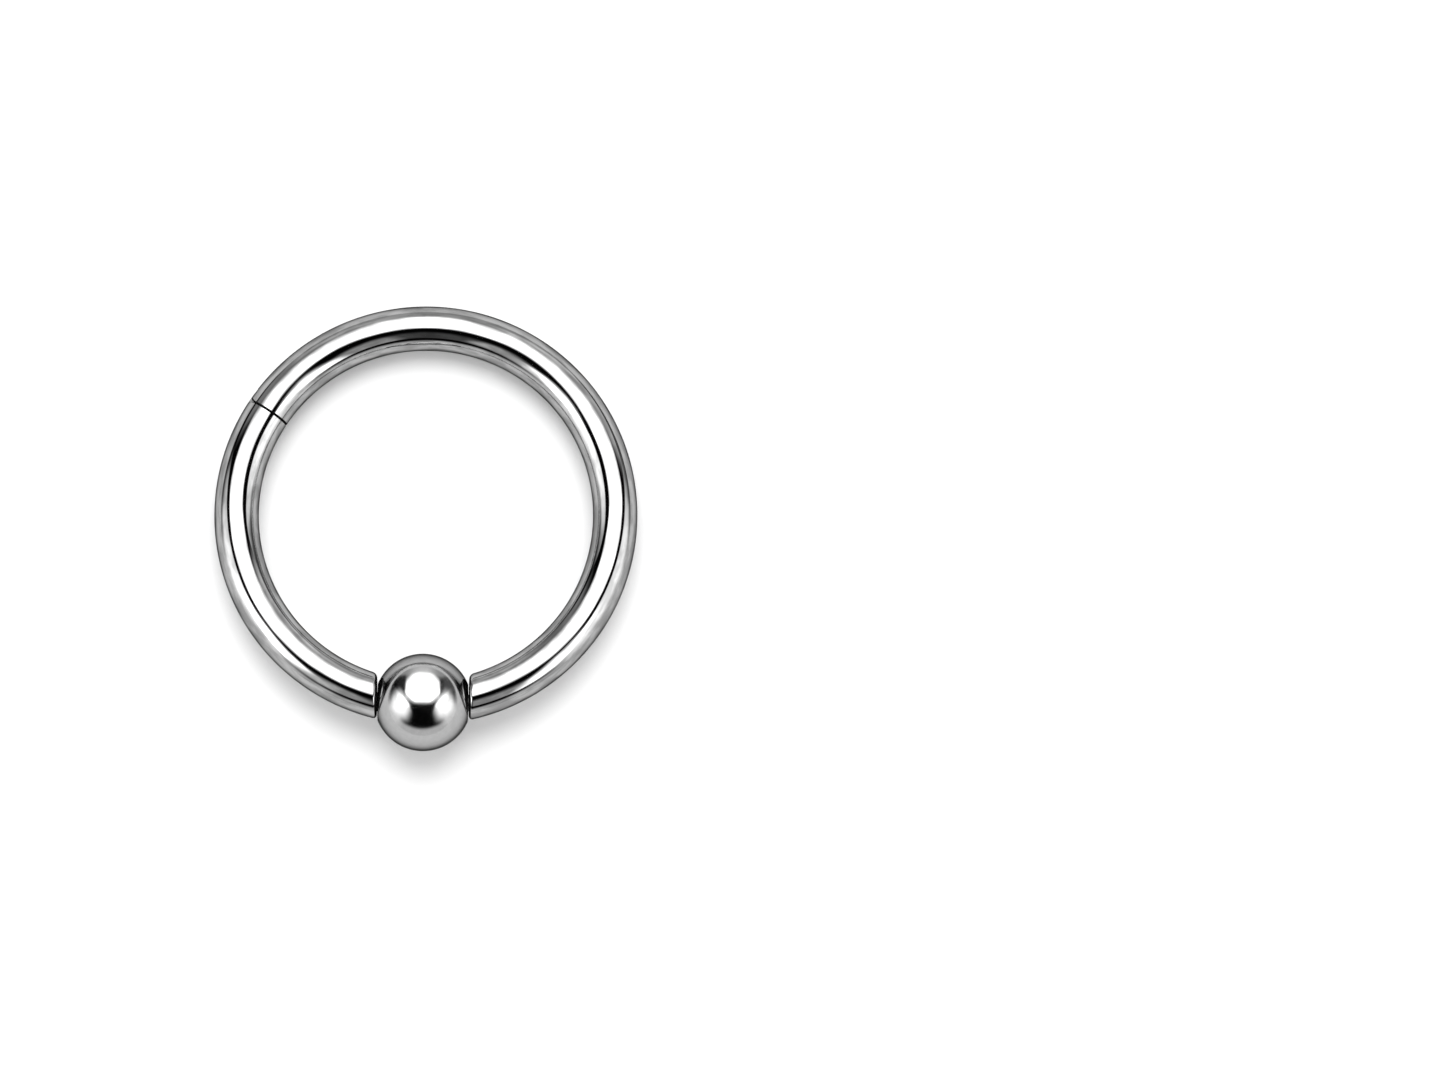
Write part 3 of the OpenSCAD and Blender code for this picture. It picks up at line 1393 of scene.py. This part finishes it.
@dataclass
class Ball:
    """The bead: a turned ball with a dimple on each side and a blind hole for the peg.

    Attributes:
        sizes: the ring's sizes.
        shaper: what builds the meshes.
        rim_round: width of the broken edge on each side of a dimple's rim, in millimetres.
        pole_r: radius of the small flat at each end of the profile, in millimetres.
        steps_round: points round the ball.
        steps_dimple: points of the profile in a dimple.
        steps_outside: points of the profile on the outside.
    """

    sizes: RingSizes
    shaper: Shaper
    rim_round: float = 0.02
    pole_r: float = 0.004
    steps_round: int = 180
    steps_dimple: int = 22
    steps_outside: int = 150

    def dimple(self, from_r: float) -> Outline:
        """The profile of the dimple on the peg's side, out to its broken rim.

        Args:
            from_r: distance from the axis at which it starts.

        Returns:
            The profile.
        """
        s = self.sizes
        ball = s.dimple_ball_r
        last = math.asin(s.dimple_r / ball) - self.rim_round / ball
        turns = np.linspace(math.asin(from_r / ball), last, self.steps_dimple)
        return [(s.dimple_x + ball - ball * math.cos(a), ball * math.sin(a)) for a in turns]

    def profile(self) -> Outline:
        """The half section of the bead.

        Returns:
            The profile, from the closed dimple's bottom round to the blind hole.
        """
        s = self.sizes
        hole_r = s.peg_d / 2 + s.peg_gap
        hole_x = s.face_x - s.peg_length - s.peg_gap
        limit = math.asin(s.dimple_r / s.bead_r) + self.rim_round / s.bead_r
        polar = np.linspace(limit, math.pi - limit, self.steps_outside)
        closed = [(-x, r) for x, r in self.dimple(self.pole_r)]
        outside = [(-s.bead_r * math.cos(a), s.bead_r * math.sin(a)) for a in polar]
        opened = self.dimple(hole_r)[::-1]
        return closed + outside + opened + [(hole_x, hole_r), (hole_x, self.pole_r)]

    def build(self, finishes: Finishes) -> Object:
        """Builds and dresses the bead.

        Args:
            finishes: its one finish.

        Returns:
            The piece.
        """
        s = self.sizes
        item = self.shaper.turned("ball", self.profile(), self.steps_round)
        reach = s.dimple_x + s.dimple_ball_r
        outside = ball_surface((0.0, -s.centre_r, 0.0), s.bead_r)
        dimples = [
            ball_surface((x, -s.centre_r, 0.0), s.dimple_ball_r, hollow=True) for x in (reach, -reach)
        ]
        self.shaper.finish(item, [outside, *dimples], finishes)
        return place_piece(item, Body.RING, "bead")


@dataclass(frozen=True)
class HingePin:
    """The plain pin of the hinge, flush with the wire's underside.

    Attributes:
        node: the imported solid, whose shape is right as it is.
    """

    node: str = "hinge_pin"

    def build(self, finishes: Finishes) -> Object:
        """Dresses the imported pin.

        Args:
            finishes: its one finish.

        Returns:
            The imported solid.
        """
        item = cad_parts[self.node]
        item.data.materials.clear()
        item.data.materials.append(finishes[0])
        return item


# Studio


class Edge(NamedTuple):
    """One soft edge of a panel in the dome.

    Attributes:
        east: how far east the way that the edge faces points.
        north: how far north it points.
        away: the edge's distance from the chart's middle that way, in degrees.
        soft: how many degrees it takes to fade.
    """

    east: float
    north: float
    away: float
    soft: float


def north_from(at: float, soft: float) -> Edge:
    """The edge of a panel that lies north of it."""
    return Edge(0, -1, -at, soft)


def north_to(at: float, soft: float) -> Edge:
    """The edge of a panel that lies south of it."""
    return Edge(0, 1, at, soft)


def east_from(at: float, soft: float) -> Edge:
    """The edge of a panel that lies east of it."""
    return Edge(-1, 0, -at, soft)


def east_to(at: float, soft: float) -> Edge:
    """The edge of a panel that lies west of it."""
    return Edge(1, 0, at, soft)


@dataclass(frozen=True)
class Panel:
    """A soft-edged sheet of light or dark in the dome round the ring.

    The dome is charted in degrees from straight up: east towards +X and north towards +Y. A panel is
    all that lies within its edges.

    Attributes:
        level: the panel's brightness.
        edges: its edges.
        both_sides: whether the panel is mirrored from east to west.
    """

    level: float
    edges: tuple[Edge, ...]
    both_sides: bool = True


WALL_BEHIND = Panel(0.60, (north_from(60, 18), north_to(96, 14), east_to(70, 30)))
WALL_SHINE = Panel(1.35, (north_to(-6, 30), east_from(54, 20), east_to(96, 16), north_from(-58, 30)))
DIM_EAST = Panel(
    0.14, (north_from(27, 12), east_from(50, 10), east_to(86, 10), north_to(66, 14)), both_sides=False
)
DIM_WEST = Panel(
    0.03, (north_from(40, 12), east_to(-42, 6), east_from(-64, 14), north_to(66, 14)), both_sides=False
)
SIDE_BOXES = Panel(2.7, (
    north_to(16, 58), Edge(-0.77, 0.64, -30, 3), Edge(-0.93, 0.37, -33, 3), Edge(-0.976, -0.217, -26, 24),
    east_to(79, 24), north_from(-41, 46), Edge(0.707, -0.707, 69, 24), Edge(0.85, 0.53, 75, 24),
))
OVERHEAD_BOX = Panel(3.0, (
    north_to(61, 16), north_from(-1.5, 9), east_to(41, 4), Edge(0.707, -0.707, 15.2, 3),
    Edge(0.707, 0.707, 46, 30),
))
BALL_BOX = Panel(1.8, (
    east_to(40.5, 5), north_from(-4, 16), north_to(69, 14), Edge(0.707, -0.707, 19, 18),
    Edge(0.707, 0.707, 64, 14),
))
BALL_SIDE = Panel(2.4, (
    north_to(14, 56), Edge(-0.9, 0.43, -34, 12), east_to(62, 16), north_from(-12, 14),
))
BALL_GLOW = Panel(0.4, (north_to(92, 30), north_from(56, 16), east_to(24, 40)))
WIRE_GLOW_EAST = Panel(
    0.5, (north_from(32, 16), east_to(78, 16), north_to(70, 16), east_from(16, 14)), both_sides=False
)
WIRE_GLOW_WEST = Panel(
    0.2, (north_from(38, 14), east_from(-66, 16), north_to(70, 16), east_to(-12, 12)), both_sides=False
)
WIRE_OVERHEAD = Panel(0.7, (
    north_to(61, 16), north_from(2, 6), east_to(39, 4), Edge(0.707, -0.707, 11, 4),
    Edge(0.707, 0.707, 44, 24),
))
WIRE_FOOT = Panel(0.07, (north_from(-56, 10), north_to(-26, 16), east_to(40, 20)))
WIRE_FOOT_EAST = Panel(
    0.32, (north_from(-56, 10), north_to(-26, 16), east_from(9, 6), east_to(40, 20)), both_sides=False
)
WIRE_FOOT_WEST = Panel(
    0.42, (north_from(-50, 16), north_to(-22, 14), east_from(-40, 20), east_to(-15, 6)), both_sides=False
)
WIRE_BOX_EAST = Panel(
    1.5, (Edge(-0.976, -0.217, -19, 8), north_from(-60, 14), north_to(-11, 10), east_to(46, 14)),
    both_sides=False,
)
WIRE_BOX_WEST = Panel(
    1.9, (Edge(0.6, -0.8, 2, 12), north_to(-8, 10), east_from(-62, 20), east_to(-27, 8)), both_sides=False
)


class DomeChart:
    """Charts directions in degrees from straight up, for the panels in a node tree.

    Attributes:
        least_level: what a direction's level length is taken to be where it is less, as at straight up.
    """

    least_level: ClassVar[float] = 1e-5

    def __init__(self, sheet: NodeSheet, way: Socket) -> None:
        """Works out how far east and north a unit vector points.

        Args:
            sheet: the node tree.
            way: the unit vector.
        """
        self.sheet = sheet
        x, y, z = sheet.split(way)
        zenith = sheet.math("DEGREES", sheet.math("ARCCOSINE", z))
        scale = sheet.math("DIVIDE", zenith, sheet.math("MAXIMUM", sheet.length(x, y), self.least_level))
        self.east = sheet.math("MULTIPLY", x, scale)
        self.north = sheet.math("MULTIPLY", y, scale)
        self.plain = sheet.join(self.east, self.north)
        self.folded = sheet.join(sheet.math("ABSOLUTE", self.east), self.north)

    def cover(self, panel: Panel) -> Socket:
        """How much of a panel covers each direction.

        Args:
            panel: the panel.

        Returns:
            1 within the panel's edges and 0 outside.
        """
        chart = self.folded if panel.both_sides else self.plain
        steps = []
        for east, north, away, soft in panel.edges:
            along = self.sheet.along(chart, east, north)
            steps.append(self.sheet.ramp(along, (away + soft / 2, away - soft / 2)))
        inside = steps[0]
        for step in steps[1:]:
            inside = self.sheet.math("MULTIPLY", inside, step)
        return inside


@dataclass(frozen=True)
class Card:
    """A large card of light overhead that only some of the pieces mirror.

    Attributes:
        name: its name.
        pieces: names of the pieces that mirror it.
        panels: what glows on it, each one added to the others.
        north: where its middle hangs, in degrees from straight up towards +Y.
        side: its side, in metres.
        away: its distance from the ring, in metres.
        gain: watts for each square metre at which the steel mirrors it as bright as its panels say.
    """

    name: str
    pieces: tuple[str, ...]
    panels: tuple[Panel, ...]
    north: float
    side: float
    away: float = 2.0
    gain: float = 4.0

    def build(self) -> None:
        """Hangs the card and ties it to its pieces."""
        data = bpy.data.lights.new(self.name, "AREA")
        data.shape = "SQUARE"
        data.size = self.side
        data.energy = self.gain * self.side ** 2
        data.use_nodes = True
        sheet = NodeSheet(data.node_tree)
        spot = sheet.add("ShaderNodeNewGeometry").outputs["Position"]
        way = sheet.add("ShaderNodeVectorMath", {0: spot}, operation="NORMALIZE").outputs[0]
        chart = DomeChart(sheet, way)
        light: Input = 0.0
        for panel in self.panels:
            light = sheet.math("MULTIPLY_ADD", chart.cover(panel), panel.level, light)
        glow = sheet.add("ShaderNodeEmission", {"Strength": light})
        sheet.add("ShaderNodeOutputLight", {"Surface": glow.outputs[0]})
        item = new_object(self.name, data)
        lean = math.radians(self.north)
        item.location = (0.0, self.away * math.sin(lean), self.away * math.cos(lean))
        item.rotation_euler = (-lean, 0.0, 0.0)
        item.visible_camera = False
        group = bpy.data.collections.new(self.name + "_pieces")
        for piece in self.pieces:
            group.objects.link(bpy.data.objects[piece])
        item.light_linking.receiver_collection = group


BALL_CARD = Card("ball_card", ("ball",), (BALL_BOX, BALL_SIDE, BALL_GLOW), north=30.0, side=8.0)
WIRE_CARD = Card("wire_card", ("long_arc", "short_arc"), (
    WIRE_GLOW_EAST, WIRE_GLOW_WEST, WIRE_OVERHEAD, WIRE_FOOT, WIRE_FOOT_EAST, WIRE_FOOT_WEST, WIRE_BOX_EAST,
    WIRE_BOX_WEST,
), north=12.0, side=9.6)


@dataclass
class Studio:
    """Floor, dome of light, cards, lamp and camera.

    Attributes:
        floor_finish: the sheet under the ring.
        floor_half: half the side of the floor, in metres.
        sky: brightness of the mirrored dome between its panels.
        wall: brightness of the mirrored pale walls near the horizon.
        wall_fall: how much darker they get with each degree towards the north.
        wall_north: how far north of straight up the walls' edge is centred, in degrees.
        wall_from: degrees from that centre at which the walls begin.
        wall_soft: degrees that their edge takes to fade.
        panels: what hangs in the dome, each one over those before it.
        cards: what only some of the pieces mirror.
        ambient: brightness of the even light on the floor.
        lamp_power: strength of the lamp, in watts per square metre.
        lamp_lean: degrees that the lamp stands off straight up, towards +Y.
        lamp_width: width of the lamp in degrees.
        elevation: degrees of the camera above the floor.
        azimuth: degrees of the camera round from -Y, towards +X.
        distance: distance of the camera in metres.
        pixels_per_mm: the photograph's scale.
        image: the photograph's size in pixels.
        ring_pixel: where the ring's centre lies in it.
        sensor: width of the camera's sensor in millimetres.
        clip: the nearest and the furthest that the camera sees, in metres.
    """

    floor_finish: PaperFinish = field(default_factory=PaperFinish)
    floor_half: float = 1.5
    sky: float = 0.002
    wall: float = 0.78
    wall_fall: float = 0.0022
    wall_north: float = 14.0
    wall_from: float = 79.0
    wall_soft: float = 11.0
    panels: tuple[Panel, ...] = (WALL_BEHIND, WALL_SHINE, DIM_EAST, DIM_WEST, SIDE_BOXES, OVERHEAD_BOX)
    cards: tuple[Card, ...] = (BALL_CARD, WIRE_CARD)
    ambient: float = 1.25
    lamp_power: float = 2.57
    lamp_lean: float = 30.0
    lamp_width: float = 44.0
    elevation: float = 84.9
    azimuth: float = 0.75
    distance: float = 0.6
    pixels_per_mm: float = 27.84
    image: tuple[int, int] = (1448, 1086)
    ring_pixel: tuple[float, float] = (425.9, 515.2)
    sensor: float = 36.0
    clip: tuple[float, float] = (0.01, 20.0)

    def floor(self) -> None:
        """A pale level sheet under the ring."""
        h = self.floor_half
        item = new_mesh("floor", [(-h, -h, 0.0), (h, -h, 0.0), (h, h, 0.0), (-h, h, 0.0)], [(0, 1, 2, 3)])
        item.data.materials.append(self.floor_finish.build())

    def dome(self) -> None:
        """Panels of light in a dark dome over pale walls for what mirrors, and even light for the rest."""
        world = bpy.data.worlds.new("studio")
        bpy.context.scene.world = world
        world.use_nodes = True
        world.cycles.sampling_method = "NONE"
        sheet = NodeSheet(world.node_tree)
        chart = DomeChart(sheet, sheet.add("ShaderNodeTexCoord").outputs["Generated"])
        reach = sheet.length(chart.east, sheet.math("SUBTRACT", chart.north, self.wall_north))
        wall = sheet.math("MULTIPLY_ADD", chart.north, -self.wall_fall, self.wall)
        light = sheet.ramp(reach, (self.wall_from, self.wall_from + self.wall_soft), (self.sky, wall))
        for panel in self.panels:
            light = sheet.blend(chart.cover(panel), light, panel.level)
        mirrored = sheet.add("ShaderNodeBackground", {"Strength": light})
        even = sheet.add("ShaderNodeBackground", {"Strength": self.ambient})
        choice = sheet.add("ShaderNodeMixShader", {
            0: sheet.add("ShaderNodeLightPath").outputs["Is Glossy Ray"],
            1: even.outputs[0],
            2: mirrored.outputs[0],
        })
        sheet.add("ShaderNodeOutputWorld", {"Surface": choice.outputs[0]})

    def lamp(self) -> None:
        """A broad soft lamp beyond the ring's far side, which throws the short shadows towards the bead."""
        data = bpy.data.lights.new("lamp", "SUN")
        data.energy = self.lamp_power
        data.angle = math.radians(self.lamp_width)
        item = new_object("lamp", data)
        item.rotation_euler = (-math.radians(self.lamp_lean), 0.0, 0.0)
        item.visible_glossy = False

    def camera(self, lay: RingLay) -> None:
        """A long lens at the photograph's angle, with the ring at its place in the frame.

        Args:
            lay: how the ring lies.
        """
        wide, high = self.image
        lens = bpy.data.cameras.new("camera")
        lens.sensor_fit = "HORIZONTAL"
        lens.sensor_width = self.sensor
        lens.lens = self.pixels_per_mm * self.distance / MM * self.sensor / wide
        lens.clip_start, lens.clip_end = self.clip
        up_angle, round_angle = math.radians(self.elevation), math.radians(self.azimuth)
        back = Vector((
            math.sin(round_angle) * math.cos(up_angle),
            -math.cos(round_angle) * math.cos(up_angle),
            math.sin(up_angle),
        ))
        right = Vector((math.cos(round_angle), math.sin(round_angle), 0.0))
        up = back.cross(right)
        off_right = (wide / 2 - self.ring_pixel[0]) / self.pixels_per_mm * MM
        off_up = (self.ring_pixel[1] - high / 2) / self.pixels_per_mm * MM
        aim = lay.matrix.to_translation() + right * off_right + up * off_up
        turn = Matrix((right, up, back)).transposed().to_4x4()
        item = new_object("camera", lens)
        item.matrix_world = Matrix.Translation(aim + back * self.distance) @ turn
        bpy.context.scene.camera = item

    def build(self, lay: RingLay) -> None:
        """Sets the whole studio up.

        Args:
            lay: how the ring lies.
        """
        view = bpy.context.scene.view_settings
        view.view_transform = "Standard"
        view.look = "None"
        view.exposure = 0.0
        view.gamma = 1.0
        self.floor()
        self.dome()
        for card in self.cards:
            card.build()
        self.lamp()
        self.camera(lay)


def main() -> None:
    """Builds every piece and the studio, in order, and reports each one."""
    logging.basicConfig(level=logging.INFO, format="%(name)s: %(message)s")
    sizes = RingSizes()
    lay = RingLay(sizes)
    shaper = Shaper(lay)
    drawn_wire, turned_ball, unpolished_shaded, painted_shade_edge = (
        finish.build(lay) for finish in (DRAWN_WIRE, TURNED_BALL, UNPOLISHED_SHADED, PAINTED_SHADE_EDGE)
    )
    pieces = (
        (LongArc(sizes, shaper), (drawn_wire, unpolished_shaded, painted_shade_edge)),
        (ShortArc(sizes, shaper), (drawn_wire, unpolished_shaded, painted_shade_edge)),
        (Ball(sizes, shaper), (turned_ball,)),
        (HingePin(), (unpolished_shaded,)),
    )
    for piece, finishes in pieces:
        item = piece.build(finishes)
        log.info("%s: %d points, %d faces", item.name, len(item.data.vertices), len(item.data.polygons))
    Studio().build(lay)
    log.info("studio: floor, dome, cards, lamp and camera")


if __name__ == "__main__":
    main()
